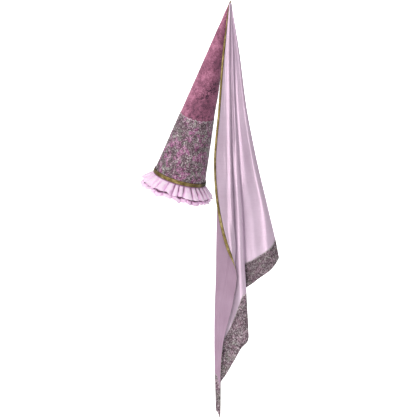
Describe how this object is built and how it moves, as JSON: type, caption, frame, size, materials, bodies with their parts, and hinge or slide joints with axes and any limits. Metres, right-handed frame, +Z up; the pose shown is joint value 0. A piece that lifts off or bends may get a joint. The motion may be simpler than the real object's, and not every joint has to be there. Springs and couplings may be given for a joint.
{
  "type": "princess hat",
  "caption": "Tall leaning cone hat of rose velvet with a brocade sleeve, gold band, pleated frills at the rim and a long satin veil hanging from its tip.",
  "frame": {"origin": "centre of the head opening, in the plane of the crown's rim", "axes": "+Z up as the hat is worn, +X towards the side that the cone leans to, -Y towards the side that the veil hangs on"},
  "size_m": [0.4731, 0.325, 1.4125],
  "materials": {
    "velvet": "crushed rose velvet",
    "brocade": "silver and plum woven brocade with a soft metallic glint",
    "frill": "pale pink pleated cloth",
    "gold": "old gold metallic braid and bead",
    "satin": "lilac satin with a soft sheen"
  },
  "bodies": {
    "root": {"velvet_crown": "velvet", "brocade_sleeve": "brocade", "gold_band": "gold", "upper_frill": "frill", "lower_frill": "frill", "tip_bead": "gold", "veil_satin": "satin", "veil_brocade_hem": "brocade", "veil_gold_braid": "gold"}
  },
  "joints": []
}
